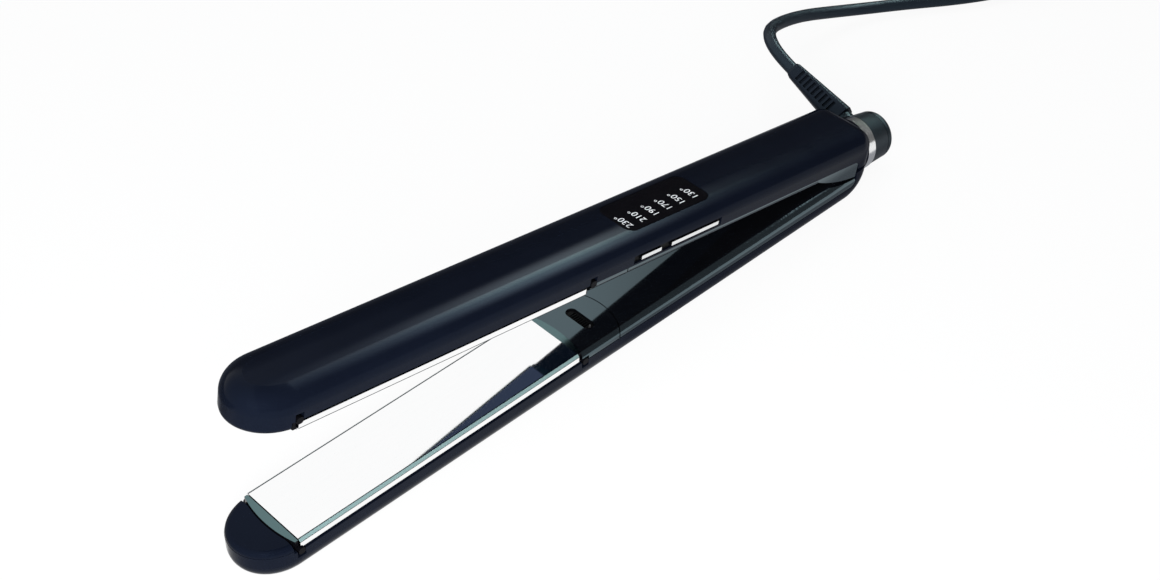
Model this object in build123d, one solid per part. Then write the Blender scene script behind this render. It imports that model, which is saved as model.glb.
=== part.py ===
"""Hair straightener with two spring-opened arms, floating plates and a swivel cord.

Millimetres, +Z up. The iron lies open on its lower arm: the origin is on that arm's flat
outer face, midway between its tip and its rear wall, and +X runs from the tips to the cord.
Both arms are drawn closed on the plane z = arm_depth, then the upper one is swung open.
"""

import math
import os

from build123d import *

# Arms
arm_width = 27.0
arm_depth = 14.0
arm_edge = 6.5
shell_wall = 2.0
tip_length = 15.5
plate_length = 115.0
throat_length = 142.0
heel_length = 7.3
lower_heel = 13.0
upper_heel = 7.5
heel_stop = 0.36
open_angle = 9.85

# Parting line between shells and covers, measured down from the closing plane
tip_rim = 3.2
plate_rim = 4.2
lower_rear_rim = 6.5
upper_rear_rim = 4.0
cheek_setback = 1.5
cheek_corner = 2.5

# Covers
seam = 0.12
cover_wall = 1.8
cover_drop = 1.0
cover_edge = 2.4
lower_rear_edge = 4.2
upper_rear_edge = 2.6
hollow_edge = 0.4
tip_cover_drop = 1.1
tip_cover_edge = 1.8
tip_plug_depth = 1.6
cover_gap = 0.35
panel_length = 19.5
panel_bow = 4.6

# Plates, carriers and heaters
plate_setback = 0.3
plate_thickness = 3.0
plate_bevel = 0.8
plate_lip = 3.4
plate_channel = 1.0
plate_gap = 0.3
plate_float = 1.0
plate_end_gap = 0.25
carrier_setback = 2.6
carrier_thickness = 3.4
crescent_setback = 1.1
crescent_mid = 3.2
crescent_end = 1.4
crescent_drop = 0.5
lug_width = 2.4
lug_height = 2.6
lug_clearance = 0.3
lug_proud = 0.25
lug_corner = 0.9
heater_length = 70.0
heater_width = 16.0
heater_thickness = 2.2
cushion_radius = 3.0
cushion_inset = 22.0
cushion_spread = 3.8

# Ion outlet in the lower panel
slot_length = 12.0
slot_width = 4.2
slot_setback = 9.4
grille_clearance = 0.1
grille_depth = 0.7
grille_thickness = 1.0
grille_slits = 8
slit_width = 0.7
slit_length = 2.8
emitter_radius = 0.6
emitter_length = 4.5
emitter_point = 1.2
emitter_offset = 4.9

# Hinge
pin_radius = 1.5
pin_press = 0.02
pin_running = 0.06
knuckle_radius = 2.8
knuckle_reach = 5.6
spring_reach = 2.6
ear_thickness = 2.6
knuckle_clearance = 0.3
knuckle_pocket = 5.6
spring_radius = 2.5
spring_wire = 0.8
spring_leg = 5.2

# Side lobes of the upper cover, which hide the hinge, measured from the hinge axis
lobe_length = 25.0
lobe_start = 2.9
lobe_middle = 12.3
lobe_middle_rise = 1.1
lobe_rise = 2.45
lobe_setback = 2.0
lobe_clearance = 1.1
lobe_side_gap = 0.3

# Display window and board in the upper arm
window_length = 40.0
window_width = 16.0
window_corner = 3.5
window_thickness = 1.6
window_recess = 0.1
window_ledge = 1.8
window_setback = 19.5
window_offset = -0.6
board_length = 52.0
board_width = 16.4
board_thickness = 1.6
board_drop = 3.8
board_boss_radius = 2.4
board_hole_radius = 1.1
screw_radius = 0.9
screw_head_radius = 1.9
screw_head_height = 1.0
screw_bite = 1.2

# Buttons in the upper arm's near side wall
bezel_length = 42.4
bezel_height = 2.8
bezel_rise = 6.3
bezel_sink = 0.7
bezel_flange = 0.6
bezel_flange_thickness = 0.8
bezel_clearance = 0.1
bar_height = 1.4
bar_proud = 0.25
bar_clearance = 0.15
power_length = 9.4
rocker_length = 23.2
bar_end = 3.2
power_travel = 0.8
button_flange = 0.5
button_flange_thickness = 0.8
rocker_boss_radius = 1.0
switch_length = 6.0
switch_depth = 3.0
switch_gap = 0.3

# Swivel, measured rearward from the arms' rear wall
boss_radius = 10.5
boss_front = 0.5
boss_rear = 1.5
boss_overlap = 4.0
spigot_radius = 5.2
seat_radius = 9.0
ring_length = 4.4
ring_rear_radius = 10.2
swivel_gap = 0.3
stub_radius = 6.2
stub_bore = 2.8
swivel_running = 0.05
cap_length = 8.6
cap_front_radius = 9.9
cap_rear_radius = 9.2
cap_recess = 1.4
cap_recess_radius = 7.7
clip_radius = 7.1
clip_thickness = 0.75
clip_end = 0.1
end_cap_length = 3.2
end_cap_groove = 0.4
end_cap_edge = 2.0
end_cap_spigot = 0.5

# Strain relief
relief_turn = 17.0
collar_radius = 4.2
collar_reach = 11.3
relief_spigot_radius = 3.4
relief_spigot_depth = 3.6
relief_fit = 0.1
relief_reach = 38.7
relief_base_half = 5.0
relief_base_corner = 2.6
relief_tip_half = 3.1
relief_tip_corner = 1.6
relief_shoulder = 1.0
relief_slots = 9
relief_slot_width = 1.25
relief_slot_length = 4.2
relief_slot_depth = 1.5
relief_slot_first = 5.0
relief_slot_pitch = 2.2

# Cord, put away in a tied coil past the rear
cord_diameter = 5.0
cord_sides = 6
first_run = 7.6
coil_turns = 2
coil_layers = 4
coil_pitch = 5.7
coil_step = 5.6
coil_radius = 36.0
coil_drop_out = 6.6
tie_thickness = 0.8
tie_gap = 0.3
tie_width = 7.0
tie_corner = 2.4
tie_angle = 115.0

# Plug
plug_thickness = 15.0
plug_width = 33.0
plug_neck_width = 15.0
plug_neck_thickness = 11.0
plug_length = 30.0
plug_corner = 4.5
plug_relief_length = 22.0
plug_relief_base = 4.6
plug_relief_tip = 3.0
pin_spacing = 18.6
plug_pin_radius = 2.0
plug_pin_length = 19.0
plug_pin_seat = 6.0

# Stations along the arms
arm_length = tip_length + plate_length + throat_length + heel_length
tip_x = -arm_length / 2
plate_front_x = tip_x + tip_length
plate_rear_x = plate_front_x + plate_length
hinge_x = plate_rear_x + throat_length
rear_x = hinge_x + heel_length
mid_z = arm_depth
half_width = arm_width / 2
heel_gap = heel_length * math.sin(math.radians(open_angle)) + heel_stop
plate_width = arm_width - 2 * plate_setback
carrier_width = arm_width - 2 * carrier_setback
crescent_width = arm_width - 2 * crescent_setback
hinge_axis = Axis((hinge_x, 0, mid_z), (0, 1, 0))
rim_step_x = plate_front_x - crescent_end - lug_width / 2

os.makedirs("parts", exist_ok=True)


def keep(name, part):
    """Writes one node."""
    part.label = name
    export_step(part, f"parts/{name}.step")


def block(x1, x2, y1, y2, z1, z2):
    """A box between two corners."""
    middle = Pos((x1 + x2) / 2, (y1 + y2) / 2, (z1 + z2) / 2)
    return middle * Box(x2 - x1, y2 - y1, z2 - z1)


def mirrored(part):
    """The lower arm's piece, turned over for the upper arm, still closed."""
    return mirror(part, about=Plane.XY.offset(mid_z))


def opened(part):
    """An upper arm's piece, swung from closed to the photographed opening."""
    return part.rotate(hinge_axis, open_angle)


def across(radius, y1, y2):
    """A round bar on the hinge axis, from one side to the other."""
    bar = Plane.XZ * Circle(radius)
    return Pos(hinge_x, y2, mid_z) * extrude(bar, y2 - y1)


def bow(x_middle, x_side, half):
    """The centre and radius of an upright arc through its middle and its two ends."""
    rise = abs(x_middle - x_side)
    radius = (half**2 + rise**2) / (2 * rise)
    toward = math.copysign(1, x_middle - x_side)
    return x_middle - toward * radius, radius


def bow_disc(arc, growth):
    """The inside of such an arc as a tall round block."""
    centre, radius = arc
    return Pos(centre, 0, mid_z) * Cylinder(radius + growth, 4 * arm_depth)


def arm_block(inset, heel_radius, top):
    """One arm's whole form: elliptical tip, square sides, rounded heel and outer edges."""
    half = half_width - inset
    end = rear_x - inset
    nose = EllipticalCenterArc((plate_front_x, 0), tip_length - inset, half, 90, arc_size=180)
    sides = Polyline((plate_front_x, half), (end, half), (end, -half), (plate_front_x, -half))
    body = extrude(Pos(0, 0, inset) * make_face(nose + sides), top - inset)
    heel = body.edges().filter_by(Axis.Y).group_by(Axis.Z)[0].sort_by(Axis.X)[-1]
    body = fillet(heel, heel_radius - inset)
    rims = []
    for edge in body.edges():
        middle = edge.position_at(0.5)
        on_side = abs(abs(middle.Y) - half) < 1e-3
        upright = abs(edge.tangent_at(0.5).Z) > 0.99
        below = middle.Z < top - 1e-3
        at_nose = abs(middle.Z - inset) < 1e-3 and middle.X < plate_front_x - 1e-3
        nose_seam = upright and middle.X < plate_front_x + 1e-3
        if (on_side and below and not nose_seam) or at_nose:
            rims.append(edge)
    return fillet(rims, arm_edge - inset)


def above_rim(rear_rim, setback):
    """What lies above the parting line, back to the cheeks' rounded rear corner."""
    rim_length = hinge_x - cheek_setback - plate_rear_x
    cheek_x = hinge_x - cheek_setback - setback
    slope = (rear_rim - plate_rim) / rim_length
    cheek_z = mid_z - rear_rim + slope * setback
    far = tip_x - arm_width
    line = Polyline(
        (far, mid_z - tip_rim),
        (rim_step_x, mid_z - tip_rim),
        (rim_step_x, mid_z - plate_rim),
        (plate_rear_x, mid_z - plate_rim),
        (cheek_x, cheek_z),
        (cheek_x, 2 * mid_z),
        (far, 2 * mid_z),
        close=True,
    )
    side = make_face(line)
    corner = side.vertices().sort_by_distance((cheek_x, cheek_z))[0]
    side = fillet(corner, cheek_corner)
    return extrude(Plane.XZ * side, arm_width, both=True)


def lug_boxes(growth, drop):
    """The carrier's four corner lugs, or the notches that they float in."""
    front = plate_front_x
    rear = plate_rear_x + crescent_end + lug_width / 2
    low = mid_z - plate_rim - lug_height / 2 - drop
    high = mid_z - plate_gap / 2 - plate_thickness
    inner = carrier_width / 2 - lug_width
    outer = half_width + lug_proud + 4 * growth
    boxes = []
    for x in (front, rear):
        for side in (-1, 1):
            y1, y2 = sorted((side * inner, side * outer))
            wide = lug_width / 2 + growth
            boxes.append(block(x - wide, x + wide, y1, y2, low, high))
    return boxes


front_arc = bow(plate_front_x - crescent_mid, plate_front_x - crescent_end, crescent_width / 2)
rear_arc = bow(plate_rear_x + crescent_mid, plate_rear_x + crescent_end, crescent_width / 2)
panel_rear_x = plate_rear_x + crescent_mid + cover_gap + panel_length
panel_arc = bow(panel_rear_x, panel_rear_x - panel_bow, half_width)


def arm_shell(heel_radius, rear_rim):
    """The outer shell: a moulded tray, open towards the plates, with its lug notches."""
    top = mid_z - heel_gap / 2
    shell = arm_block(0, heel_radius, top)
    shell -= arm_block(shell_wall, heel_radius, mid_z)
    shell -= above_rim(rear_rim, 0)
    for notch in lug_boxes(lug_clearance, plate_float + lug_clearance):
        shell -= notch
    return shell


def tip_cover():
    """The inner lid of the tip, with a plug that locates it inside the shell."""
    half = half_width - seam
    top = mid_z - tip_cover_drop
    low = mid_z - tip_rim
    nose = EllipticalCenterArc((plate_front_x, 0), tip_length - seam, half, 90, arc_size=180)
    lid = extrude(Pos(0, 0, low) * make_face(nose + Line(nose @ 1, nose @ 0)), top - low)
    rim = lid.edges().group_by(Axis.Z)[-1].sort_by(Axis.X)[0]
    lid = fillet(rim, tip_cover_edge)
    inner = shell_wall + seam
    bulb = EllipticalCenterArc(
        (plate_front_x, 0), tip_length - inner, half_width - inner, 90, arc_size=180
    )
    plug = extrude(
        Pos(0, 0, low - tip_plug_depth) * make_face(bulb + Line(bulb @ 1, bulb @ 0)),
        tip_plug_depth,
    )
    lid = lid + plug
    lid -= block(rim_step_x, rear_x, -arm_width, arm_width, 0, 2 * mid_z)
    return lid - bow_disc(front_arc, cover_gap)


def cover_bar(x1, x2, inset, top, edges):
    """A length of cover: square sides and a face with rounded edges, from front to rear."""
    wide = arm_width - 2 * inset
    ends = []
    for x, edge in zip((x1, x2), edges):
        section = Pos(0, top / 2) * Rectangle(wide, top)
        section = fillet(section.vertices().group_by(Axis.Y)[-1], edge)
        ends.append(Plane.YZ.offset(x) * section)
    return loft(ends, ruled=True)


def cover_channel(x1, x2, rear_rim, edges):
    """The hollow cover standing on the sloping parting line."""
    top = mid_z - cover_drop
    bar = cover_bar(x1, x2, seam, top, edges)
    inner_edges = [max(edge - cover_wall, hollow_edge) for edge in edges]
    hollow = cover_bar(x1, x2, seam + cover_wall, top - cover_wall, inner_edges)
    return (bar - hollow) & above_rim(rear_rim, seam)


def outlet_panel(rear_rim):
    """The gloss panel behind the plate, between two bowed seams."""
    panel = cover_channel(plate_rear_x, panel_rear_x, rear_rim, (cover_edge, cover_edge))
    panel -= bow_disc(rear_arc, cover_gap)
    panel &= bow_disc(panel_arc, 0)
    for room in lug_boxes(2 * lug_clearance, plate_float + lug_clearance):
        panel -= Pos(0, 0, lug_clearance) * room
    return panel


def handle_cover(rear_rim, rear_edge):
    """The gloss grip cover, with two side cheeks and an empty knuckle pocket between."""
    front = panel_rear_x - 2 * panel_bow
    cover = cover_channel(front, hinge_x, rear_rim, (cover_edge, rear_edge))
    cover -= bow_disc(panel_arc, cover_gap)
    inside = half_width - seam - cover_wall
    pocket_x = hinge_x - knuckle_pocket
    return cover - block(pocket_x, rear_x, -inside, inside, 0, 2 * mid_z)


def cheek_lobes(inside, outside):
    """The two side lobes between such distances from the middle, drawn with the lower arm."""
    low = mid_z - arm_depth / 2
    front_x = hinge_x - lobe_length
    end_x = hinge_x - lobe_setback
    crown = ThreePointArc(
        (front_x, mid_z - lobe_start),
        (hinge_x - lobe_middle, mid_z + lobe_middle_rise),
        (end_x, mid_z + lobe_rise),
    )
    foot = Polyline(crown @ 1, (end_x, low), (front_x, low), crown @ 0)
    side = Plane.XZ * make_face(crown + foot)
    lobes = []
    for y in (outside, -inside):
        lobes.append(Pos(0, y, 0) * extrude(side, outside - inside))
    return lobes


def knuckle(y1, y2, bore):
    """One hinge knuckle, with the web that joins it to its cover."""
    top = mid_z - cover_drop
    web = block(hinge_x - knuckle_pocket - cover_wall, hinge_x, y1, y2, top - cover_wall, top)
    return across(knuckle_radius, y1, y2) + web - across(bore, y1, y2)


# Lower arm: shell, tip, panel and grip
lower_shell = arm_shell(lower_heel, lower_rear_rim)
keep("lower_shell", lower_shell)
keep("lower_tip_cover", tip_cover())

slot_x = plate_rear_x + crescent_mid + cover_gap + slot_setback
face_z = mid_z - cover_drop
slot = Pos(slot_x, 0, face_z - cover_wall) * SlotOverall(slot_length, slot_width, rotation=90)
lower_panel = outlet_panel(lower_rear_rim)
lower_panel -= extrude(slot, 2 * cover_wall)
keep("lower_outlet_panel", lower_panel)

# Ion outlet: slotted grille in the panel's slot, with the needle at its near end
grille_top = face_z - grille_depth
grille_size = (slot_length - 2 * grille_clearance, slot_width - 2 * grille_clearance)
grille = extrude(Pos(slot_x, 0, grille_top) * SlotOverall(*grille_size, rotation=90), -grille_thickness)
slit_pitch = (slot_length - slot_width) / grille_slits
slit_first = -emitter_offset + emitter_radius + slit_pitch
for place in range(grille_slits):
    slit = Box(slit_length, slit_width, 2 * grille_thickness)
    grille -= Pos(slot_x, slit_first + place * slit_pitch, grille_top) * slit
needle_hole = Cylinder(emitter_radius + grille_clearance, 2 * grille_thickness)
grille -= Pos(slot_x, -emitter_offset, grille_top) * needle_hole
keep("outlet_grille", grille)
needle = extrude(Circle(emitter_radius), emitter_length - emitter_point)
needle_point = Cone(emitter_radius, emitter_radius / 4, emitter_point)
needle += Pos(0, 0, emitter_length - emitter_point / 2) * needle_point
keep("ion_emitter", Pos(slot_x, -emitter_offset, grille_top - emitter_length + emitter_point) * needle)

spring_side = spring_reach + knuckle_clearance
lower_cover = handle_cover(lower_rear_rim, lower_rear_edge)
cheek_inside = half_width - seam - cover_wall
lobe_floor = mid_z - lobe_rise - lobe_clearance
for room in cheek_lobes(cheek_inside - lobe_side_gap, half_width):
    lower_cover -= Pos(0, 0, -lobe_clearance) * mirrored(room)
    sides = room.bounding_box()
    lower_cover -= block(hinge_x - lobe_setback, rear_x, sides.min.Y, sides.max.Y, lobe_floor, 2 * mid_z)
for y1, y2 in ((-knuckle_reach, -spring_side), (spring_side, knuckle_reach)):
    lower_cover += knuckle(y1, y2, pin_radius + pin_running)
keep("lower_handle_cover", lower_cover)


def plate():
    """The polished plate: bevelled long edges and a channel for the heater underneath."""
    half = plate_width / 2
    top = mid_z - plate_gap / 2
    low = top - plate_thickness
    inner = half - plate_lip
    section = Polyline(
        (-half + plate_bevel, top),
        (half - plate_bevel, top),
        (half, top - plate_bevel),
        (half, low),
        (inner, low),
        (inner, low + plate_channel),
        (-inner, low + plate_channel),
        (-inner, low),
        (-half, low),
        (-half, top - plate_bevel),
        close=True,
    )
    return extrude(Plane.YZ.offset(plate_front_x) * make_face(section), plate_length)


def bowed_outline(width):
    """The carrier's plan: straight sides and two bowed ends, cut to a width."""
    half = crescent_width / 2
    front_x = plate_front_x - crescent_end
    rear_x_side = plate_rear_x + crescent_end
    front = ThreePointArc((front_x, half), (plate_front_x - crescent_mid, 0), (front_x, -half))
    rear = ThreePointArc((rear_x_side, -half), (plate_rear_x + crescent_mid, 0), (rear_x_side, half))
    sides = [Line(front @ 1, rear @ 0), Line(rear @ 1, front @ 0)]
    plan = extrude(make_face([front, rear] + sides), 2 * mid_z)
    return plan & block(tip_x, rear_x, -width / 2, width / 2, 0, 2 * mid_z)


carrier_top = mid_z - plate_gap / 2 - plate_thickness
carrier_low = carrier_top - carrier_thickness
heater_top = carrier_top + plate_channel


def carrier():
    """The plate's heat-resistant carrier: tray, bowed ends and four guide lugs."""
    tray = bowed_outline(carrier_width)
    tray &= block(tip_x, rear_x, -arm_width, arm_width, carrier_low, carrier_top)
    ends = bowed_outline(crescent_width)
    ends &= block(tip_x, rear_x, -arm_width, arm_width, carrier_top, mid_z - crescent_drop)
    room = (plate_front_x - plate_end_gap, plate_rear_x + plate_end_gap)
    ends -= block(*room, -arm_width, arm_width, 0, 2 * mid_z)
    body = tray + ends
    for lug in lug_boxes(0, 0):
        body += fillet(lug.edges().filter_by(Axis.Y), lug_corner)
    return body - heater(lug_clearance)


def heater(growth):
    """The ceramic strip heater between plate and carrier, or the pocket that holds it."""
    middle_x = (plate_front_x + plate_rear_x) / 2
    long = heater_length / 2 + growth
    half = heater_width / 2 + growth
    low = heater_top - heater_thickness - growth / 3
    return block(middle_x - long, middle_x + long, -half, half, low, heater_top)


def cushions():
    """Four silicone cushions under the carrier, standing on the shell's floor."""
    group = []
    for x in (plate_front_x + cushion_inset, plate_rear_x - cushion_inset):
        for y in (-cushion_spread, cushion_spread):
            pad = extrude(Circle(cushion_radius), carrier_low - shell_wall)
            group.append(Pos(x, y, shell_wall) * pad)
    return Compound(group)


keep("lower_plate", plate())
keep("lower_plate_carrier", carrier())
keep("lower_heater", heater(0))
keep("lower_plate_cushions", cushions())
keep("upper_plate", opened(mirrored(plate())))
keep("upper_plate_carrier", opened(mirrored(carrier())))
keep("upper_heater", opened(mirrored(heater(0))))
keep("upper_plate_cushions", opened(mirrored(cushions())))

# Upper arm: covers, hinge ears, pin and spring
keep("upper_tip_cover", opened(mirrored(tip_cover())))
keep("upper_outlet_panel", opened(mirrored(outlet_panel(upper_rear_rim))))
ear_inner = knuckle_reach + knuckle_clearance
ear_outer = ear_inner + ear_thickness
upper_cover = handle_cover(upper_rear_rim, upper_rear_edge)
for lobe in cheek_lobes(cheek_inside, half_width - seam):
    upper_cover += lobe & above_rim(upper_rear_rim, seam)
for y1, y2 in ((-ear_outer, -ear_inner), (ear_inner, ear_outer)):
    upper_cover += knuckle(y1, y2, pin_radius + pin_press)
keep("upper_handle_cover", opened(mirrored(upper_cover)))
keep("hinge_pin", across(pin_radius, -ear_outer, ear_outer))

spring = across(spring_radius, -spring_reach, spring_reach)
spring -= across(spring_radius - spring_wire, -spring_reach, spring_reach)
leg_middle = spring_radius - spring_wire / 2
leg = extrude(Plane.YZ * Circle(spring_wire / 2), -spring_leg)
lower_leg = Pos(hinge_x, -spring_reach + spring_wire, mid_z - leg_middle) * leg
upper_leg = Pos(hinge_x, spring_reach - spring_wire, mid_z + leg_middle) * leg
keep("hinge_spring", spring + lower_leg + opened(upper_leg))

# Upper shell: boss for the swivel, display opening, button opening, board bosses
upper_shell = mirrored(arm_shell(upper_heel, upper_rear_rim))
outer_z = 2 * mid_z
inner_z = outer_z - shell_wall


def rearward(radius, x1, x2):
    """A round bar on the swivel's axis, measured from the arms' rear wall."""
    return extrude(Plane.YZ.offset(rear_x + x1) * (Pos(0, mid_z) * Circle(radius)), x2 - x1)


boss = rearward(boss_radius, -boss_overlap, boss_rear)
heel_room = block(tip_x, rear_x + boss_front, -arm_width, arm_width, 0, mid_z + heel_gap / 2)
boss -= heel_room
cavity = mirrored(arm_block(shell_wall, upper_heel, mid_z))
boss -= cavity
boss -= rearward(spigot_radius, boss_front - boss_overlap, boss_rear)
upper_shell = upper_shell + boss

window_x = panel_rear_x + window_setback - seam
window_spot = Pos(window_x, window_offset, outer_z - window_recess)
window_plan = RectangleRounded(window_length, window_width, window_corner)
pocket_plan = RectangleRounded(window_length + 2 * seam, window_width + 2 * seam, window_corner + seam)
sight = (window_length - 2 * window_ledge, window_width - 2 * window_ledge)
sight_plan = RectangleRounded(*sight, window_corner - window_ledge)
upper_shell -= window_spot * extrude(pocket_plan, -window_thickness)
upper_shell -= window_spot * extrude(pocket_plan, 2 * window_recess)
upper_shell -= window_spot * extrude(sight_plan, -2 * shell_wall)
keep("display_window", opened(window_spot * extrude(window_plan, -window_thickness)))

board_top = inner_z - board_drop + shell_wall
boss_places = [window_x - board_length / 2 + board_boss_radius, window_x + board_length / 2 - board_boss_radius]
board = block(
    window_x - board_length / 2,
    window_x + board_length / 2,
    -board_width / 2,
    board_width / 2,
    board_top - board_thickness,
    board_top,
)
screws = []
for x in boss_places:
    post = extrude(Circle(board_boss_radius), inner_z - board_top)
    post -= extrude(Circle(screw_radius), screw_bite + seam)
    upper_shell += Pos(x, 0, board_top) * post
    board -= Pos(x, 0, board_top) * Cylinder(board_hole_radius, 3 * board_thickness)
    screw = extrude(Circle(screw_head_radius), -screw_head_height)
    screw += extrude(Circle(screw_radius), board_thickness + screw_bite)
    screws.append(Pos(x, 0, board_top - board_thickness) * screw)
keep("circuit_board", opened(board))
keep("board_screws", opened(Compound(screws)))

# Buttons: recessed bezel, power bar, temperature rocker and their switches
bezel_x = window_x
bar_z = mid_z + bezel_rise
wall_face = -half_width
bezel_face = wall_face + bezel_sink
bezel_seat = wall_face + shell_wall + bezel_clearance
bezel_back = bezel_seat + bezel_flange_thickness


def bar_block(x1, x2, height, y1, y2):
    """A bar across the side wall at the buttons' height."""
    return block(x1, x2, y1, y2, bar_z - height / 2, bar_z + height / 2)


opening_half = bezel_length / 2 + bezel_clearance
opening_height = bezel_height + 2 * bezel_clearance
upper_shell -= bar_block(
    bezel_x - opening_half,
    bezel_x + opening_half,
    opening_height,
    wall_face - shell_wall,
    wall_face + 1.5 * shell_wall,
)
keep("upper_shell", opened(upper_shell))

power_x1 = bezel_x - bezel_length / 2 + bar_end
power_x2 = power_x1 + power_length
rocker_x2 = bezel_x + bezel_length / 2 - bar_end / 2
rocker_x1 = rocker_x2 - rocker_length
rocker_x = (rocker_x1 + rocker_x2) / 2
bezel = bar_block(
    bezel_x - bezel_length / 2, bezel_x + bezel_length / 2, bezel_height, bezel_face, bezel_back
)
bezel += bar_block(
    bezel_x - bezel_length / 2 - bezel_flange,
    bezel_x + bezel_length / 2 + bezel_flange,
    bezel_height + 2 * bezel_flange,
    bezel_seat,
    bezel_back,
)
slot_height = bar_height + 2 * bar_clearance
for x1, x2 in ((power_x1, power_x2), (rocker_x1, rocker_x2)):
    bezel -= bar_block(x1 - bar_clearance, x2 + bar_clearance, slot_height, bezel_face - 1, bezel_back + 1)
keep("button_bezel", opened(bezel))

bar_face = wall_face - bar_proud
flange_front = bezel_back + bar_clearance
flange_back = flange_front + button_flange_thickness
power = bar_block(power_x1, power_x2, bar_height, bar_face, flange_back)
power += bar_block(
    power_x1 - button_flange,
    power_x2 + button_flange,
    bar_height + 2 * button_flange,
    flange_front,
    flange_back,
)
keep("power_button", opened(power))
rocker = bar_block(rocker_x1, rocker_x2, bar_height, bar_face, flange_back)
rocker_boss = extrude(Circle(rocker_boss_radius), bar_height + 2 * button_flange)
rocker_low = bar_z - bar_height / 2 - button_flange
rocker += Pos(rocker_x, flange_front + rocker_boss_radius, rocker_low) * rocker_boss
keep("temperature_rocker", opened(rocker))
print("rocker pivot, closed", rocker_x, flange_front + rocker_boss_radius, bar_z)

switch_face = flange_back + power_travel + switch_gap
switches = []
for x in ((power_x1 + power_x2) / 2, rocker_x1 + switch_length / 2, rocker_x2 - switch_length / 2):
    low = bar_z - bar_height
    switches.append(
        block(
            x - switch_length / 2,
            x + switch_length / 2,
            switch_face,
            switch_face + switch_depth,
            low,
            board_top - board_thickness,
        )
    )
keep("push_switches", opened(Compound(switches)))

# Lower shell's swivel room is clear; swivel socket, ring, cap and retaining clip
ring_front = boss_rear
ring_rear = ring_front + ring_length
cap_front = ring_rear + swivel_gap
cap_rear = cap_front + cap_length
recess_front = cap_rear - cap_recess
clip_front = recess_front + clip_end
clip_rear = clip_front + clip_thickness
socket = rearward(spigot_radius - pin_press, boss_front, ring_front)
socket += rearward(seat_radius, ring_front, ring_rear)
socket += rearward(stub_radius, ring_rear, clip_rear)
socket -= rearward(stub_bore, boss_front, clip_rear)
keep("swivel_socket", opened(socket))


def turned(points):
    """A turned piece on the swivel's axis from (station, radius) points."""
    outline = Polyline(*[(rear_x + x, mid_z + r) for x, r in points], close=True)
    axis = Axis((rear_x, 0, mid_z), (1, 0, 0))
    return revolve(Plane.XZ * make_face(outline), axis)


ring = turned(
    [
        (ring_front, seat_radius + pin_press),
        (ring_front, boss_radius),
        (ring_rear, ring_rear_radius),
        (ring_rear, seat_radius + pin_press),
    ]
)
keep("swivel_ring", opened(ring))
clip = turned(
    [
        (clip_front, stub_radius + pin_press),
        (clip_front, clip_radius),
        (clip_rear, clip_radius),
        (clip_rear, stub_radius + pin_press),
    ]
)
keep("swivel_clip", opened(clip))

relief_x = (cap_front + cap_rear) / 2
swivel_axis = Axis((rear_x, 0, mid_z), (1, 0, 0))


def radial(part):
    """A piece drawn up the Z axis from the origin, set on the swivel's outlet."""
    return Pos(rear_x + relief_x, 0, mid_z) * Rot(relief_turn - 90, 0, 0) * part


cap = turned(
    [
        (cap_front, stub_radius + swivel_running),
        (cap_front, cap_front_radius),
        (cap_rear, cap_rear_radius),
        (cap_rear, cap_recess_radius),
        (recess_front, cap_recess_radius),
        (recess_front, stub_radius + swivel_running),
    ]
)
collar_foot = cap_rear_radius - collar_radius / 2
collar = Pos(0, 0, collar_foot) * extrude(Circle(collar_radius), collar_reach - collar_foot)
socket_foot = collar_reach - relief_spigot_depth - relief_fit
hole = Pos(0, 0, socket_foot) * extrude(Circle(relief_spigot_radius + relief_fit), 2 * relief_spigot_depth)
cap = cap + radial(collar) - radial(hole)
cap -= rearward(cap_recess_radius, recess_front, cap_rear)
keep("swivel_cap", opened(cap))

end_front = cap_rear + end_cap_groove
end_rear = end_front + end_cap_length
end_radius = cap_rear_radius - seam
end_cap = rearward(end_radius, end_front, end_rear)
end_cap = fillet(end_cap.edges().filter_by(GeomType.CIRCLE).sort_by(Axis.X)[-1], end_cap_edge)
end_cap += rearward(cap_recess_radius - seam, cap_rear - end_cap_spigot + seam, end_front)
keep("swivel_end_cap", opened(end_cap))

# Strain relief: tapered and square with round corners, a row of slots in two of its sides
foot_plan = RectangleRounded(2 * relief_base_half, 2 * relief_base_half, relief_base_corner)
tip_plan = RectangleRounded(2 * relief_tip_half, 2 * relief_tip_half, relief_tip_corner)
end_half = relief_tip_half - relief_shoulder / 2
end_plan = RectangleRounded(2 * end_half, 2 * end_half, relief_tip_corner - relief_shoulder / 2)
relief = loft(
    [
        Pos(0, 0, collar_reach) * foot_plan,
        Pos(0, 0, relief_reach - relief_shoulder) * tip_plan,
        Pos(0, 0, relief_reach) * end_plan,
    ],
    ruled=True,
)
foot = Pos(0, 0, collar_reach - relief_spigot_depth)
relief += foot * extrude(Circle(relief_spigot_radius), relief_spigot_depth)
for place in range(relief_slots):
    z = collar_reach + relief_slot_first + place * relief_slot_pitch
    share = (z - collar_reach) / (relief_reach - collar_reach)
    half = relief_base_half + share * (relief_tip_half - relief_base_half)
    for side in (-1, 1):
        relief -= Pos(side * half, 0, z) * Box(2 * relief_slot_depth, relief_slot_length, relief_slot_width)
relief = Rot(0, 0, 45) * relief
keep("strain_relief", opened(radial(relief)))

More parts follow.
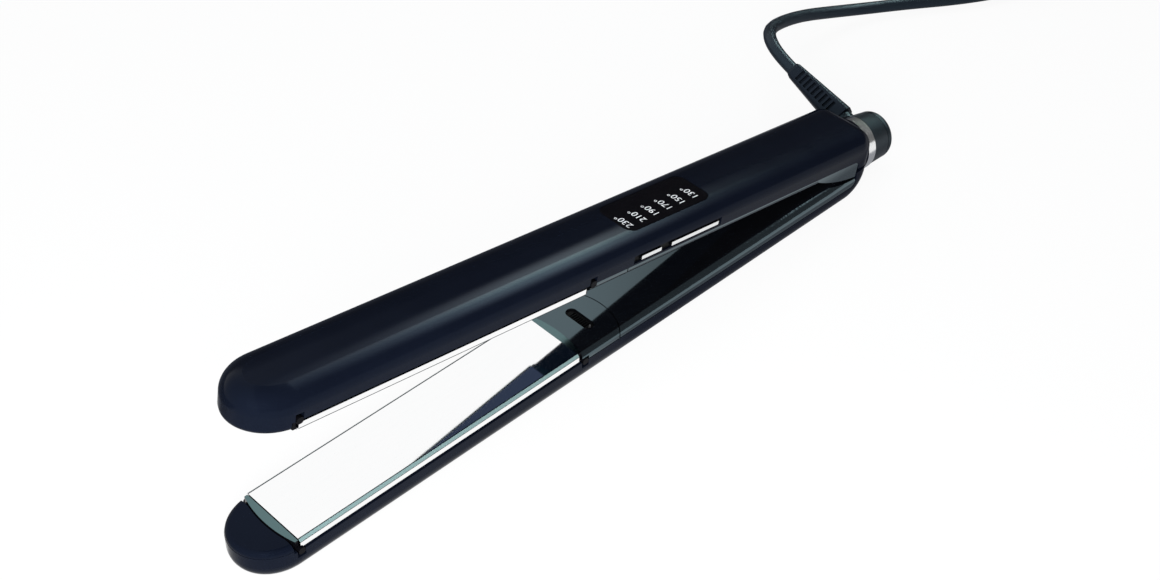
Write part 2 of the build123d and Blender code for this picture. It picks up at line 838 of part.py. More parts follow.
# Cord: free stretch from the relief's end to the coil, chosen by hand along the photograph
exit_point = opened(radial(Pos(0, 0, relief_reach) * Vertex(0, 0, 0))).center()
exit_foot = opened(radial(Pos(0, 0, collar_reach) * Vertex(0, 0, 0))).center()
exit_way = (exit_point - exit_foot).normalized()
coil_low = tie_thickness + tie_gap + cord_diameter / 2
coil_start = Vector(296.1, 24.2, coil_low)
route = [
    exit_point,
    exit_point + exit_way * first_run,
    Vector(156.7, 53.4, 25.2),
    Vector(164.6, 60.4, 22.9),
    Vector(176.6, 64.3, 18.8),
    Vector(191.6, 65.7, 14.1),
    Vector(208.1, 64.1, 8.9),
    Vector(224.6, 60.2, 4.9),
    Vector(242.1, 51.4, 3.7),
    Vector(261.1, 38.7, 3.65),
    Vector(279.1, 29.4, coil_low),
    coil_start,
]
runs = [(b - a).length for a, b in zip(route, route[1:])]
radii = []
for before, point, after, run, next_run in zip(route, route[1:], route[2:], runs, runs[1:]):
    turn = math.radians((point - before).get_angle(after - point))
    radii.append(0.45 * min(run, next_run) / math.tan(turn / 2))
print("runs", [round(run, 1) for run in runs])
print("radii in cord diameters", [round(radius / cord_diameter, 1) for radius in radii])
free_path = FilletPolyline(*route, radius=radii)
free_start = Plane(exit_point, z_dir=exit_way)
cord_section = RegularPolygon(cord_diameter / 2, cord_sides)
free_cord = sweep(free_start * cord_section, path=free_path)
free_volume = cord_section.area * free_path.length
print("free cord length", round(free_path.length, 1), "volume share", round(free_cord.volume / free_volume, 4))
keep("cord_free", free_cord)

# Coil: spirals in and out in layers, then drops outside the pile to the plug
straight = cord_diameter
last_way = (route[-1] - route[-2]).normalized()
lead_in = coil_start + last_way * straight
left = Vector(-last_way.Y, last_way.X, 0)
coil_centre = lead_in + left * coil_radius
start_angle = math.degrees(math.atan2(-left.Y, -left.X))
pile_turns = coil_turns * coil_layers
tail_turns = 0.5 - math.atan2(last_way.Y, last_way.X) / (2 * math.pi)
coil_top = coil_low + (coil_layers - 1) * coil_step
plug_z = plug_thickness / 2 + tie_gap


def smooth(share):
    """A smooth step from 0 to 1."""
    share = min(max(share, 0.0), 1.0)
    return share * share * (3 - 2 * share)


def coil_point(turn):
    """A point of the coil's centreline after so many turns."""
    phase = turn % (2 * coil_turns)
    inward = phase if phase < coil_turns else 2 * coil_turns - phase
    radius = coil_radius - coil_pitch * inward
    height = coil_low
    for layer in range(1, coil_layers):
        height += coil_step * smooth((turn - layer * coil_turns) / 0.5 + 0.5)
    if turn > pile_turns:
        past = turn - pile_turns
        radius = coil_radius + coil_drop_out * smooth(past / 0.25)
        height -= (coil_top - plug_z) * smooth((past - 0.08) / 0.42)
    angle = math.radians(start_angle + 360 * turn)
    spot = Vector(math.cos(angle), math.sin(angle), 0) * radius
    return Vector(coil_centre.X, coil_centre.Y, height) + spot


def coil_way(turn):
    """The coil's direction there; level and square to the radius at both ends."""
    if turn <= 0 or turn >= pile_turns + tail_turns:
        spot = coil_point(turn) - Vector(coil_centre.X, coil_centre.Y, coil_point(turn).Z)
        return Vector(-spot.Y, spot.X, 0).normalized()
    small = 0.01
    return (coil_point(turn + small) - coil_point(turn - small)).normalized()


def biarc(start, start_way, end, end_way):
    """Two arcs that leave and arrive in the given directions and join smoothly."""
    span = end - start
    both = start_way + end_way
    square = 2 * (1 - start_way.dot(end_way))
    pull = span.dot(both)
    reach = (-pull + math.sqrt(pull**2 + square * span.length**2)) / square
    joint = (start + end + (start_way - end_way) * reach) / 2
    middle_way = (joint - start - start_way * reach).normalized()
    return [
        TangentArc(start, joint, tangent=start_way),
        TangentArc(joint, end, tangent=middle_way),
    ]


coil_stations = [step / 4 for step in range(4 * pile_turns + 2)] + [pile_turns + tail_turns]
coil_edges = [Line(coil_start, lead_in)]
for here, there in zip(coil_stations, coil_stations[1:]):
    coil_edges += biarc(coil_point(here), coil_way(here), coil_point(there), coil_way(there))
coil_end = coil_point(pile_turns + tail_turns)
end_way = coil_way(pile_turns + tail_turns)
plug_start = coil_end + end_way * straight
coil_edges.append(Line(coil_end, plug_start))
coil_path = Wire(coil_edges)
coil_plane = Plane(coil_start, z_dir=last_way)
coil = sweep(coil_plane * cord_section, path=coil_path)
keep("cord_coil", coil)

samples = [coil_point(step / 48) for step in range(round(48 * (pile_turns + tail_turns)) + 1)]
least = min(
    (a - b).length for i, a in enumerate(samples) for b in samples[i + 24 :]
)
print("coil length", round(coil_path.length, 1), "least gap", round(least - cord_diameter, 2))
print("cord length", round(coil_path.length + free_path.length, 1))

# Tie: a flat strap round the whole pile
tie_inner = coil_radius - coil_pitch * coil_turns - cord_diameter / 2 - tie_gap
tie_outer = coil_radius + cord_diameter / 2 + tie_gap
tie_high = coil_top + cord_diameter / 2 + tie_gap
tie_middle = ((tie_inner + tie_outer) / 2, (tie_high + tie_thickness) / 2)
tie_hole = (tie_outer - tie_inner, tie_high - tie_thickness)
tie_size = (tie_hole[0] + 2 * tie_thickness, tie_hole[1] + 2 * tie_thickness)
strap = RectangleRounded(*tie_size, tie_corner + tie_thickness) - RectangleRounded(*tie_hole, tie_corner)
tie_place = Pos(coil_centre.X, coil_centre.Y, 0) * Rot(0, 0, start_angle + tie_angle)
tie = extrude(Plane.XZ * (Pos(*tie_middle) * strap), tie_width / 2, both=True)
keep("cord_tie", tie_place * tie)

# Plug: two round pins in a tapering body, with its own short relief
plug_plane = Plane(plug_start, x_dir=Vector(0, 0, 1).cross(end_way), z_dir=end_way)
plug_relief = Polyline(
    (0, 0),
    (plug_relief_tip, 0),
    (plug_relief_base, plug_relief_length),
    (0, plug_relief_length),
    close=True,
)
plug_tail = revolve(Plane.XZ * make_face(plug_relief), Axis.Z)
neck = RectangleRounded(plug_neck_width, plug_neck_thickness, plug_corner)
face = RectangleRounded(plug_width, plug_thickness - tie_gap, plug_corner)
plug_body = loft(
    [
        Pos(0, 0, plug_relief_length) * neck,
        Pos(0, 0, plug_relief_length + 0.55 * plug_length) * face,
        Pos(0, 0, plug_relief_length + plug_length) * face,
    ],
    ruled=True,
)
plug_face = plug_relief_length + plug_length
plug = plug_tail + plug_body
pins = []
for side in (-1, 1):
    pin_place = Pos(side * pin_spacing / 2, 0, plug_face - plug_pin_seat)
    rod = extrude(Circle(plug_pin_radius), plug_pin_seat + plug_pin_length)
    rod = chamfer(rod.edges().sort_by(Axis.Z)[-1], plug_pin_radius / 2)
    plug -= pin_place * extrude(Circle(plug_pin_radius + pin_press), plug_pin_seat)
    pins.append(pin_place * rod)
keep("plug_body", plug_plane.location * plug)
keep("plug_pins", plug_plane.location * Compound(pins))
print("exit", exit_point, "way", exit_way)
print("coil centre", coil_centre, "start angle", start_angle)
print("plug start", plug_start, "way", end_way)
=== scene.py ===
import math

import bpy
from mathutils import Matrix, Vector


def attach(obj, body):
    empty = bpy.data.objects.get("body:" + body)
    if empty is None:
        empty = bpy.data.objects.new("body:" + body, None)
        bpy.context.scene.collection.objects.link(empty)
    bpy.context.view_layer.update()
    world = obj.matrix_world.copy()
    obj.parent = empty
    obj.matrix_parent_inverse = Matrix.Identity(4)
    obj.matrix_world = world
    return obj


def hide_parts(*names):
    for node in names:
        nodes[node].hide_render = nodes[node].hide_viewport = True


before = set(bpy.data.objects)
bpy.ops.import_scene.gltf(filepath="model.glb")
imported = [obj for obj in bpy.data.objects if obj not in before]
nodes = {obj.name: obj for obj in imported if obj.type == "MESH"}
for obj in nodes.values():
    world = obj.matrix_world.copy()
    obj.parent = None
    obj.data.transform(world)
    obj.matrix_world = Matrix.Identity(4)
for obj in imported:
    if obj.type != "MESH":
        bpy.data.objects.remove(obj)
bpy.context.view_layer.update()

# Camera: a long lens above the near side of the iron, fitted to the photograph.
# The matrix's columns are its right, its up, its back and its place, in metres.
scene = bpy.context.scene
scene.view_settings.view_transform = "Standard"
lens = bpy.data.cameras.new("picture_lens")
lens.sensor_fit = "HORIZONTAL"
lens.sensor_width = 36.0
lens.lens = 60.768
lens.clip_start = 0.01
camera = bpy.data.objects.new("picture_camera", lens)
scene.collection.objects.link(camera)
camera.matrix_world = Matrix(
    (
        (0.71882, 0.46012, -0.52114, -0.33298),
        (-0.69501, 0.49295, -0.52342, -0.33788),
        (0.01606, 0.73844, 0.67413, 0.46113),
        (0.0, 0.0, 0.0, 1.0),
    )
)
scene.camera = camera

# Room: white all round to the camera and to bright metal, and a dimmer grey as a light.
# First reflections also see a strip lamp over the upper arm and two shaded sides of the room.
# Reflections of reflections see dusk.


class Tone:
    """A value in a node tree; sums on it add the nodes that work them out."""

    def __init__(self, tree, socket=None):
        self.tree = tree
        self.socket = socket

    def node(self, kind, settings=None, sockets=None, out=0):
        """Adds one node: its settings, then its sockets' values or links. Returns an output."""
        made = self.tree.nodes.new("ShaderNode" + kind)
        for name, value in (settings or {}).items():
            setattr(made, name, value)
        for name, value in (sockets or {}).items():
            self.link(value, made.inputs[name])
        return Tone(self.tree, made.outputs[out])

    def twin(self, out):
        """Another output of the node that this value comes from."""
        return Tone(self.tree, self.socket.node.outputs[out])

    def link(self, value, socket):
        """Sets a socket to a number or a colour, or links it to another value."""
        if isinstance(value, Tone):
            self.tree.links.new(value.socket, socket)
        else:
            socket.default_value = value

    def sum(self, operation, first, second):
        """Adds one Math node."""
        return self.node("Math", {"operation": operation}, {0: first, 1: second})

    def __add__(self, other):
        return self.sum("ADD", self, other)

    def __radd__(self, other):
        return self.sum("ADD", other, self)

    def __sub__(self, other):
        return self.sum("SUBTRACT", self, other)

    def __rsub__(self, other):
        return self.sum("SUBTRACT", other, self)

    def __mul__(self, other):
        return self.sum("MULTIPLY", self, other)

    def __rmul__(self, other):
        return self.sum("MULTIPLY", other, self)

    def __gt__(self, other):
        return self.sum("GREATER_THAN", self, other)

    def __lt__(self, other):
        return self.sum("LESS_THAN", self, other)

    def __abs__(self):
        return self.sum("ABSOLUTE", self, 0.0)


def blend(tone, share, first, second):
    """A colour between two colours."""
    return tone.node("Mix", {"data_type": "RGBA"}, {0: share, 6: first, 7: second}, out=2)


def fade(tone, value, start, end, first, last):
    """A smooth change from a first value to a last one, as another value goes from start to end."""
    return tone.node(
        "MapRange",
        {"interpolation_type": "SMOOTHSTEP"},
        {"Value": value, "From Min": start, "From Max": end, "To Min": first, "To Max": last},
    )


def axis_of(tone, vector, axis):
    """One axis of a vector."""
    return tone.node("SeparateXYZ", None, {0: vector}, out=axis)


def along(tone, vector, way):
    """How far a vector goes along a direction."""
    return tone.node("VectorMath", {"operation": "DOT_PRODUCT"}, {0: vector, 1: way}, out="Value")


sweep_white = (1.0, 1.0, 1.0, 1.0)
room_light = (0.62, 0.66, 0.70, 1.0)
room_strength = 0.55
dusk = (0.030, 0.042, 0.076, 1.0)
dusk_loss = 0.5
one_bounce = 1.5
world = bpy.data.worlds.new("white_room")
scene.world = world
world.use_nodes = True
room = Tone(world.node_tree)
backing = world.node_tree.nodes["Background"].inputs
camera_ray = room.node("LightPath", out="Is Camera Ray")
glossy_ray = camera_ray.twin("Is Glossy Ray")
clear_ray = camera_ray.twin("Is Transmission Ray")
bounces = camera_ray.twin("Glossy Depth")
first_glossy = glossy_ray * (bounces < one_bounce)
deep = glossy_ray * (bounces > one_bounce)
seen = room.sum("MINIMUM", camera_ray + first_glossy + clear_ray, 1.0)
lit = blend(room, seen, room_light, sweep_white)
toward = room.node("TexCoord", out="Generated")
way_x = axis_of(room, toward, "X")
way_y = axis_of(room, toward, "Y")
way_z = axis_of(room, toward, "Z")
near_shade = fade(room, way_y - way_x, start=-0.16, end=0.02, first=0.85, last=0.0)
far_shade = fade(room, way_z - way_x, start=-0.20, end=0.02, first=0.90, last=0.0) * (way_y > 0.0)
shade = room.sum("MAXIMUM", near_shade, far_shade)

# The strip lamp's edges are given along the upper arm, and by how far a face of the arm leans
# that mirrors them to the near side. Its upper edge slants, and it brightens to the rear.
strip_length = (0.9853, 0.0, -0.1711)
strip_height = (0.1711, 0.0, 0.9853)
near_lean = 0.759
slant_start = 0.503
slant = 0.79
lamp_colour = (0.73, 0.96, 0.84, 1.0)
lamp_strength = 31.0
strip_along = along(room, toward, strip_length)
strip_lean = (near_lean - room.sum("ARCTAN2", way_y, along(room, toward, strip_height))) * 0.5
slanted = strip_lean - (strip_along - slant_start) * slant
lower_edge = fade(room, strip_lean, start=0.035, end=0.205, first=0.0, last=1.0)
upper_edge = fade(room, slanted, start=0.209, end=0.698, first=1.0, last=0.0)
front_end = fade(room, strip_along, start=0.478, end=0.505, first=0.0, last=1.0)
brightening = fade(room, strip_along, start=0.535, end=0.640, first=0.19, last=1.0)
rear_end = fade(room, strip_along, start=0.640, end=0.672, first=1.0, last=0.0)
lamp_share = first_glossy * (lower_edge * upper_edge * front_end * brightening * rear_end)
tinted = blend(room, lamp_share, lit, lamp_colour)
room.link(blend(room, deep, tinted, dusk), backing["Color"])
plain_strength = room_strength + seen * (1.0 - room_strength)
view = lamp_share * lamp_strength - first_glossy * shade
room.link(plain_strength * (1.0 + view) * (1.0 - dusk_loss * deep), backing["Strength"])

# Floor: a matte white paper sweep just under the iron, which keeps the iron's shadow.
# The camera and reflections see it white, apart from painted shade that only reflections see:
# behind the iron, and a painted contact shadow close beside its lower arm.
floor_half = 3.0
floor_level = -0.0004
camera_white = 0.92


def dress(name, wearers):
    """A new material on some pieces: where its sums start, and its shader's sockets."""
    material = bpy.data.materials.new(name)
    material.use_nodes = True
    for wearer in wearers:
        piece = nodes[wearer] if isinstance(wearer, str) else wearer
        piece.data.materials.clear()
        piece.data.materials.append(material)
    return Tone(material.node_tree), material.node_tree.nodes["Principled BSDF"].inputs


floor_mesh = bpy.data.meshes.new("floor")
floor_mesh.from_pydata(
    [
        (-floor_half, -floor_half, 0.0),
        (floor_half, -floor_half, 0.0),
        (floor_half, floor_half, 0.0),
        (-floor_half, floor_half, 0.0),
    ],
    [],
    [(0, 1, 2, 3)],
)
floor = bpy.data.objects.new("floor", floor_mesh)
scene.collection.objects.link(floor)
floor.location.z = floor_level
sheet, paper = dress("white_sweep", [floor])
paper["Base Color"].default_value = (0.86, 0.86, 0.86, 1.0)
paper["Roughness"].default_value = 1.0
paper["Specular IOR Level"].default_value = 0.0
floor_ray = sheet.node("LightPath", out="Is Camera Ray")
floor_glossy = floor_ray.twin("Is Glossy Ray")
floor_clear = floor_ray.twin("Is Transmission Ray")
floor_deep = floor_ray.twin("Glossy Depth") > one_bounce
floor_seen = sheet.sum("MINIMUM", floor_ray * camera_white + floor_glossy + floor_clear, 1.0)
floor_place = sheet.node("TexCoord", out="Object")
floor_x = axis_of(sheet, floor_place, "X")
floor_y = axis_of(sheet, floor_place, "Y")
# Painted shade, seen only in reflections: behind the iron, and a painted contact shadow beside its lower
# arm.
behind = fade(sheet, floor_y, start=0.03, end=0.10, first=0.0, last=0.92)
near_side = fade(sheet, floor_y, start=-0.031, end=-0.025, first=0.0, last=0.70)
beside = near_side * fade(sheet, floor_x, start=-0.005, end=0.03, first=0.0, last=1.0)
painted_floor_shade = sheet.sum("MAXIMUM", behind, beside)
floor_dusk = floor_glossy * sheet.sum("MAXIMUM", floor_deep, painted_floor_shade)
glow_colour = blend(sheet, floor_dusk, sweep_white, dusk)
glow = sheet.node("Emission", None, {"Color": glow_colour, "Strength": 1.0})
matte = Tone(sheet.tree, sheet.tree.nodes["Principled BSDF"].outputs[0])
shown = sheet.node("MixShader", None, {0: floor_seen, 1: matte, 2: glow})
sheet.link(shown, sheet.tree.nodes["Material Output"].inputs["Surface"])

# Lamps: a small key box at the near left and a broad box overhead, both plain white.
# Reflections don't see them: what polished faces show comes from the room and the floor.


def soft_box(name, place, aim, size, power):
    """A rectangular studio lamp at a place, turned to a point."""
    lamp = bpy.data.lights.new(name, "AREA")
    lamp.shape = "RECTANGLE"
    lamp.size = size[0]
    lamp.size_y = size[1]
    lamp.energy = power
    held = bpy.data.objects.new(name, lamp)
    scene.collection.objects.link(held)
    held.location = place
    held.visible_glossy = False
    held.rotation_euler = (Vector(aim) - Vector(place)).to_track_quat("-Z", "Y").to_euler()


soft_box("key_box", place=(-0.36, -0.30, 0.28), aim=(-0.10, 0.0, 0.03), size=(0.3, 0.3), power=4.6)
soft_box("top_box", place=(0.1, 0.35, 0.95), aim=(0.0, 0.0, 0.02), size=(0.8, 0.5), power=2.5)

# Arm shells and tip lids: moulded nylon under a soft-touch navy-black lacquer.
# Each shell is a tray; its tip lid is pressed in and flush with the rim.
# The low crown along the shells' outer faces is in the lacquer's bump.
shell_crown = 0.00068
crown_flat = 0.0020
crown_side = 0.0118
speckle_rise = 0.000004


def grain(tone, scale, detail=2.0):
    """Fine random grain in the piece's own space, so many features to the metre."""
    place = tone.node("TexCoord", out="Object")
    return tone.node("TexNoise", None, {"Vector": place, "Scale": scale, "Detail": detail})


def mottle(tone, shader, share, dark, light):
    """A base colour that varies between a dark and a light colour by a share."""
    tone.link(blend(tone, share, dark, light), shader["Base Color"])


def raised(tone, height, strength, distance):
    """A surface raised by a height."""
    return tone.node("Bump", None, {"Height": height, "Strength": strength, "Distance": distance})


for coat_name, coated, crown in (
    ("soft_touch", ["upper_shell", "lower_shell"], shell_crown),
    ("soft_touch_lid", ["upper_tip_cover", "lower_tip_cover"], 0.0),
):
    lacquer, skin = dress(coat_name, coated)
    speckle = grain(lacquer, 2600.0)
    smudge = grain(lacquer, 60.0, 4.0)
    mottle(lacquer, skin, smudge, (0.0025, 0.0037, 0.0080, 1.0), (0.0039, 0.0056, 0.0114, 1.0))
    lacquer.link(0.11 + smudge * 0.04 + speckle * 0.02, skin["Roughness"])
    off_middle = abs(axis_of(lacquer, lacquer.node("TexCoord", out="Object"), "Y"))
    fall = fade(lacquer, off_middle, start=crown_flat, end=crown_side, first=crown, last=0.0)
    lacquer.link(raised(lacquer, fall + speckle * speckle_rise, 1.0, 1.0), skin["Normal"])
    skin["Specular IOR Level"].default_value = 0.055
    skin["Specular Tint"].default_value = (0.50, 0.68, 1.0, 1.0)

# Grip covers and outlet panels: piano-black ABS, polished in the mould.
# They snap into the shells along the sloping parting line.
piano, gloss = dress(
    "piano_black",
    ["upper_handle_cover", "lower_handle_cover", "upper_outlet_panel", "lower_outlet_panel"],
)
wipe = grain(piano, 140.0, 5.0)
mottle(piano, gloss, wipe, (0.0022, 0.0024, 0.0034, 1.0), (0.0040, 0.0044, 0.0056, 1.0))
piano.link(0.03 + wipe * 0.06, gloss["Roughness"])
gloss["Specular IOR Level"].default_value = 1.0
gloss["IOR"].default_value = 1.62
gloss["Specular Tint"].default_value = (0.60, 0.88, 1.0, 1.0)

# Plates: aluminium with a polished hard coating, bevelled on the long edges.
# Each lies on its heater and carrier and floats on the cushions below.
# The bevels are dull and not metal, with a painted grey-green reflection, and thin dark lines of painted
# shade mark their edges.
hinge = Vector((0.1326, 0.0, 0.014))
opened_by = math.radians(9.85)
bevel_lean = 0.4
wall_lean = 0.95
line_inner = 0.01208
line_outer = 0.01242
line_depth = 0.00122
painted_bevel_reflection = (0.15, 0.225, 0.225, 1.0)
painted_edge_shade = (0.03, 0.035, 0.04, 1.0)
for plate, into_arm in (
    ("upper_plate", Vector((math.sin(opened_by), 0.0, math.cos(opened_by)))),
    ("lower_plate", Vector((0.0, 0.0, -1.0))),
):
    mirror, metal = dress("polished_" + plate, [plate])
    here = mirror.node("TexCoord", out="Object")
    stroke = mirror.node("Mapping", None, {"Vector": here, "Scale": (90.0, 6000.0, 90.0)})
    lapping = mirror.node("TexNoise", None, {"Vector": stroke, "Scale": 1.0, "Detail": 3.0})
    polish = blend(mirror, lapping, (0.94, 0.945, 0.95, 1.0), (0.985, 0.985, 0.985, 1.0))
    breadth = abs(axis_of(mirror, here, "Y"))
    depth = along(mirror, here, into_arm)
    lean = abs(axis_of(mirror, mirror.node("NewGeometry", out="Normal"), "Y"))
    bevel = (lean > bevel_lean) * (lean < wall_lean)
    # Painted reflection: the bevels get a light grey-green colour in place of what they would mirror.
    polish_and_painted_bevel_reflection = blend(mirror, bevel, polish, painted_bevel_reflection)
    # Painted shade: a thin dark line on the top face near each long edge, and one at the top of the side
    # walls.
    top_line = (breadth > line_inner) * (breadth < line_outer)
    side_line = (lean > wall_lean) * (depth < into_arm.dot(hinge) + line_depth)
    painted_edge_shade_mask = mirror.sum("MINIMUM", top_line + side_line, 1.0)
    mottle(mirror, metal, painted_edge_shade_mask, polish_and_painted_bevel_reflection, painted_edge_shade)
    mirror.link(1.0 - bevel, metal["Metallic"])
    mirror.link(0.03 + lapping * 0.03 + bevel * 0.3, metal["Roughness"])

# Plate carriers: heat-proof moulding, satin grey-green on the bowed ends, black on the lugs.
# The four corner lugs slide in notches of the shell's rim.
face_half = 0.01245
face_level = 0.8
tray, carrier = dress("plate_carrier", ["upper_plate_carrier", "lower_plate_carrier"])
side_way = axis_of(tray, tray.node("TexCoord", out="Object"), "Y")
level = axis_of(tray, tray.node("NewGeometry", out="Normal"), "Z")
face = (abs(side_way) < face_half) * (abs(level) > face_level)
tray_grain = grain(tray, 900.0)
mottle(tray, carrier, face, (0.0025, 0.0025, 0.0035, 1.0), (0.110, 0.180, 0.187, 1.0))
tray.link(face, carrier["Metallic"])
tray.link(0.10 + tray_grain * 0.06, carrier["Roughness"])
carrier["Specular IOR Level"].default_value = 0.04

# Heaters: pressed and fired alumina strips, off-white.
# Each is clamped in the pocket between its plate and carrier.
alumina, strip = dress("alumina_strip", ["upper_heater", "lower_heater"])
sinter = grain(alumina, 1500.0)
mottle(alumina, strip, sinter, (0.74, 0.71, 0.66, 1.0), (0.84, 0.82, 0.78, 1.0))
strip["Roughness"].default_value = 0.6

# Plate cushions: four round pads of grey silicone in each arm.
# They stand on the shell's floor under the carrier, and let the plate sink.
silicone, pad = dress("silicone_pad", ["upper_plate_cushions", "lower_plate_cushions"])
pad_dust = grain(silicone, 700.0)
mottle(silicone, pad, pad_dust, (0.12, 0.12, 0.13, 1.0), (0.17, 0.17, 0.18, 1.0))
pad["Roughness"].default_value = 0.7

# Outlet grille and button bezel: dull black mouldings, sunk in the panel and in the wall.
# The slotted grille snaps into the lower panel; the bezel frames the two button bars.
slots, comb = dress("sunk_black", ["outlet_grille", "button_bezel"])
comb_grain = grain(slots, 1200.0)
mottle(slots, comb, comb_grain, (0.0016, 0.0017, 0.0020, 1.0), (0.003, 0.0032, 0.0036, 1.0))
comb["Roughness"].default_value = 0.4
comb["Specular IOR Level"].default_value = 0.06

# Steel pieces: ion needle, hinge pin, hinge spring, board screws and the swivel's clip.
# Drawn or turned, left bright, and out of sight apart from the needle in its outlet.
steel, wire = dress(
    "drawn_steel", ["ion_emitter", "hinge_pin", "hinge_spring", "board_screws", "swivel_clip"]
)
draw = grain(steel, 1800.0)
mottle(steel, wire, draw, (0.42, 0.42, 0.43, 1.0), (0.56, 0.56, 0.57, 1.0))
wire["Metallic"].default_value = 1.0
steel.link(0.22 + draw * 0.15, wire["Roughness"])

# Display window: tinted acrylic let into the upper shell, flush with its face.
# The temperatures are printed on it, to be read by whoever holds the grip.
acrylic, window = dress("tinted_window", ["display_window"])
haze = grain(acrylic, 300.0)
mottle(acrylic, window, haze, (0.0016, 0.0014, 0.0026, 1.0), (0.0026, 0.0024, 0.0036, 1.0))
acrylic.link(0.10 + haze * 0.05, window["Roughness"])
window["Specular IOR Level"].default_value = 0.06

number_size = 0.0038
number_start = 0.0172
number_pitch = 0.0064
number_side = -0.0064
number_level = 0.02792
print_depth = 0.00001
open_turn = Matrix.Translation(hinge) @ Matrix.Rotation(opened_by, 4, "Y") @ Matrix.Translation(-hinge)
number_up = Matrix(((0, -1, 0, 0), (1, 0, 0, 0), (0, 0, 1, 0), (0, 0, 0, 1)))
numbers = []
for row, temperature in enumerate((230, 210, 190, 170, 150, 130)):
    text = bpy.data.curves.new(f"temperature_{temperature}", "FONT")
    text.body = f"{temperature}°"
    text.size = number_size
    text.extrude = print_depth
    number = bpy.data.objects.new(f"temperature_{temperature}", text)
    scene.collection.objects.link(number)
    number_spot = Vector((number_start + number_pitch * row, number_side, number_level))
    number.matrix_world = open_turn @ Matrix.Translation(number_spot) @ number_up
    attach(number, "upper_arm")
    numbers.append(number)
ink, print_white = dress("printed_white", numbers)
ink_grain = grain(ink, 4000.0)
mottle(ink, print_white, ink_grain, (0.72, 0.74, 0.76, 1.0), (0.82, 0.84, 0.86, 1.0))
print_white["Roughness"].default_value = 0.5

# Board and switches under the window: green laminate held to two posts by screws.
# Three black push switches hang under it, behind the buttons.
laminate, board = dress("green_laminate", ["circuit_board"])
mask = grain(laminate, 500.0)
mottle(laminate, board, mask, (0.012, 0.07, 0.03, 1.0), (0.02, 0.10, 0.045, 1.0))
board["Roughness"].default_value = 0.35
moulding, switch = dress("switch_black", ["push_switches"])
switch_grain = grain(moulding, 1500.0)
mottle(moulding, switch, switch_grain, (0.01, 0.01, 0.01, 1.0), (0.02, 0.02, 0.02, 1.0))
switch["Roughness"].default_value = 0.5

# Buttons, swivel ring and plug pins: bright nickel-chrome plating, lightly rubbed.
# The power bar is pushed in; the temperature bar rocks at either end.
plating, bright = dress("bright_plating", ["power_button", "temperature_rocker", "swivel_ring", "plug_pins"])
rub = grain(plating, 1400.0)
mottle(plating, bright, rub, (0.74, 0.75, 0.76, 1.0), (0.86, 0.87, 0.87, 1.0))
bright["Metallic"].default_value = 1.0
plating.link(0.10 + rub * 0.12, bright["Roughness"])

# Swivel: satin black nylon mouldings at the rear of the upper arm.
# The socket is fixed in the arm's boss; the cap and end cap turn on it with the cord.
satin, nylon = dress("satin_nylon", ["swivel_socket", "swivel_cap", "swivel_end_cap"])
satin_grain = grain(satin, 2200.0)
mottle(satin, nylon, satin_grain, (0.0042, 0.0058, 0.0078, 1.0), (0.0072, 0.0096, 0.0124, 1.0))
satin.link(0.32 + satin_grain * 0.10, nylon["Roughness"])
satin.link(raised(satin, satin_grain, 0.10, 0.00004), nylon["Normal"])
nylon["Specular IOR Level"].default_value = 0.34
nylon["Specular Tint"].default_value = (0.52, 0.80, 1.0, 1.0)

# Strain relief, plug body and cord tie: black flexible vinyl, finely dimpled.
# The relief and the plug are moulded onto the cord; the tie goes round its coil.


def vinyl_coat(name, wearers, dark, light, shine):
    """Dimpled black vinyl on some pieces."""
    vinyl, sheath = dress(name, wearers)
    dimple = grain(vinyl, 1700.0)
    mottle(vinyl, sheath, dimple, dark, light)
    vinyl.link(0.34 + dimple * 0.12, sheath["Roughness"])
    vinyl.link(raised(vinyl, dimple, 0.04, 0.00005), sheath["Normal"])
    sheath["Specular IOR Level"].default_value = shine
    sheath["Specular Tint"].default_value = (0.50, 0.78, 1.0, 1.0)


vinyl_coat(
    "black_vinyl",
    ["strain_relief", "plug_body", "cord_tie"],
    dark=(0.0054, 0.0068, 0.0108, 1.0),
    light=(0.0088, 0.0110, 0.0164, 1.0),
    shine=0.16,
)

# Cord: round lead from the relief's end, down to the table and away past the picture.
# The rest of it is wound in a tied coil there, four layers deep, with the plug beside it.
cord_diameter = 0.005
coil_low = 0.0036
route = [
    (0.152073, 0.037009, 0.022103),
    (0.152453, 0.044277, 0.024292),
    (0.1567, 0.0534, 0.0252),
    (0.1646, 0.0604, 0.0229),
    (0.1766, 0.0643, 0.0188),
    (0.1916, 0.0657, 0.0141),
    (0.2081, 0.0641, 0.0089),
    (0.2246, 0.0602, 0.0049),
    (0.2421, 0.0514, 0.0037),
    (0.2611, 0.0387, 0.00365),
    (0.2791, 0.0294, coil_low),
    (0.2961, 0.0242, coil_low),
]
coil_turns = 2
coil_layers = 4
coil_pitch = 0.0057
coil_step = 0.0056
coil_radius = 0.0360
climb_turns = 0.5
coil_drop_out = 0.0066
drop_out_turns = 0.25
fall_wait = 0.08
fall_turns = 0.42
plug_height = 0.0078
full_turn = 2 * math.pi
points_per_turn = 16
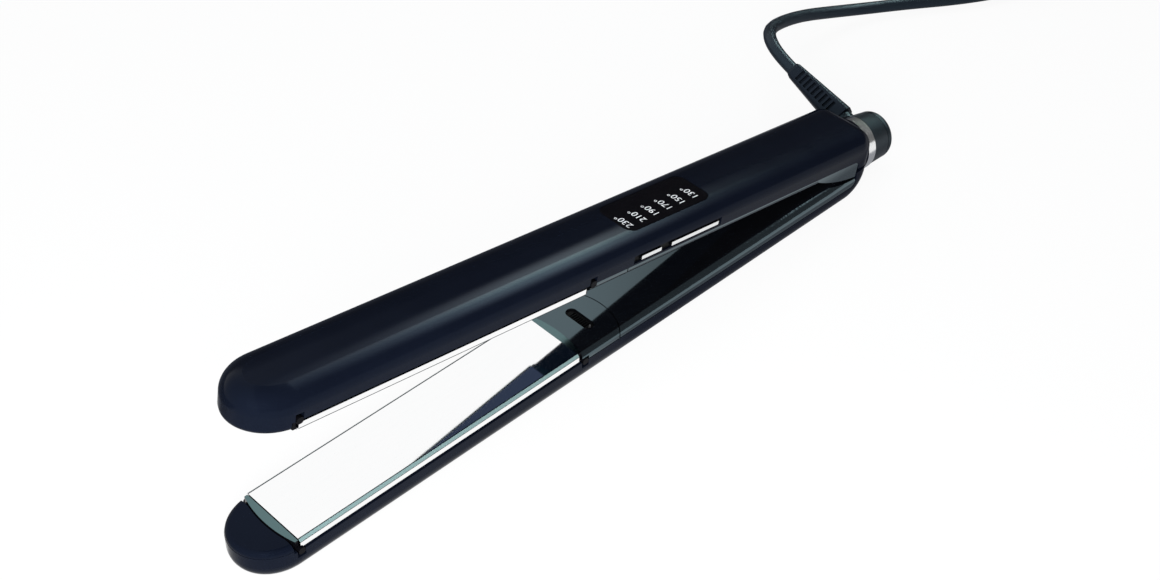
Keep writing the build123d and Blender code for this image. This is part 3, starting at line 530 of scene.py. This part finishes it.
# The line runs inside its points, so on the coil they stand out by this much
spread = 1.0 / (0.75 + 0.25 * math.cos(full_turn / points_per_turn))
away = (Vector(route[-1]) - Vector(route[-2])).normalized()
lead_in = Vector(route[-1]) + away * cord_diameter
coil_centre = lead_in + Vector((-away.y, away.x, 0.0)) * coil_radius
start_angle = math.atan2(lead_in.y - coil_centre.y, lead_in.x - coil_centre.x)
pile_turns = coil_turns * coil_layers
tail_turns = 0.5 - math.atan2(away.y, away.x) / full_turn
coil_top = coil_low + (coil_layers - 1) * coil_step


def eased(share):
    """A smooth step from 0 to 1."""
    share = min(max(share, 0.0), 1.0)
    return share * share * (3 - 2 * share)


for step in range(1, int(points_per_turn * (pile_turns + tail_turns)) + 1):
    turn = step / points_per_turn
    phase = turn % (2 * coil_turns)
    turns_in = phase if phase < coil_turns else 2 * coil_turns - phase
    radius = coil_radius - coil_pitch * turns_in
    height = coil_low + sum(
        coil_step * eased((turn - layer * coil_turns) / climb_turns + 0.5) for layer in range(1, coil_layers)
    )
    if turn > pile_turns:
        past = turn - pile_turns
        radius = coil_radius + coil_drop_out * eased(past / drop_out_turns)
        height -= (coil_top - plug_height) * eased((past - fall_wait) / fall_turns)
    angle = start_angle + full_turn * turn
    route.append(
        (
            coil_centre.x + spread * radius * math.cos(angle),
            coil_centre.y + spread * radius * math.sin(angle),
            height,
        )
    )
end_angle = start_angle + full_turn * tail_turns
end_radius = coil_radius + coil_drop_out
coil_end = coil_centre + Vector((math.cos(end_angle), math.sin(end_angle), 0.0)) * end_radius
plug_way = Vector((-math.sin(end_angle), math.cos(end_angle), 0.0))
route.append((coil_end.x, coil_end.y, plug_height))
plug_start = coil_end + plug_way * cord_diameter
route.append((plug_start.x, plug_start.y, plug_height))

lead = bpy.data.curves.new("cord", "CURVE")
lead.dimensions = "3D"
lead.bevel_depth = cord_diameter / 2
lead.bevel_resolution = 5
lead.use_fill_caps = True
line = lead.splines.new("NURBS")
line.points.add(len(route) - 1)
for point, spot in zip(line.points, route):
    point.co = (*spot, 1.0)
line.order_u = 3
line.use_endpoint_u = True
line.resolution_u = 6
cord = bpy.data.objects.new("cord", lead)
scene.collection.objects.link(cord)
vinyl_coat(
    "cord_vinyl",
    [cord],
    dark=(0.0070, 0.0098, 0.0140, 1.0),
    light=(0.0116, 0.0154, 0.0206, 1.0),
    shine=0.30,
)
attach(cord, "cord_swivel")
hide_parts("cord_free", "cord_coil")
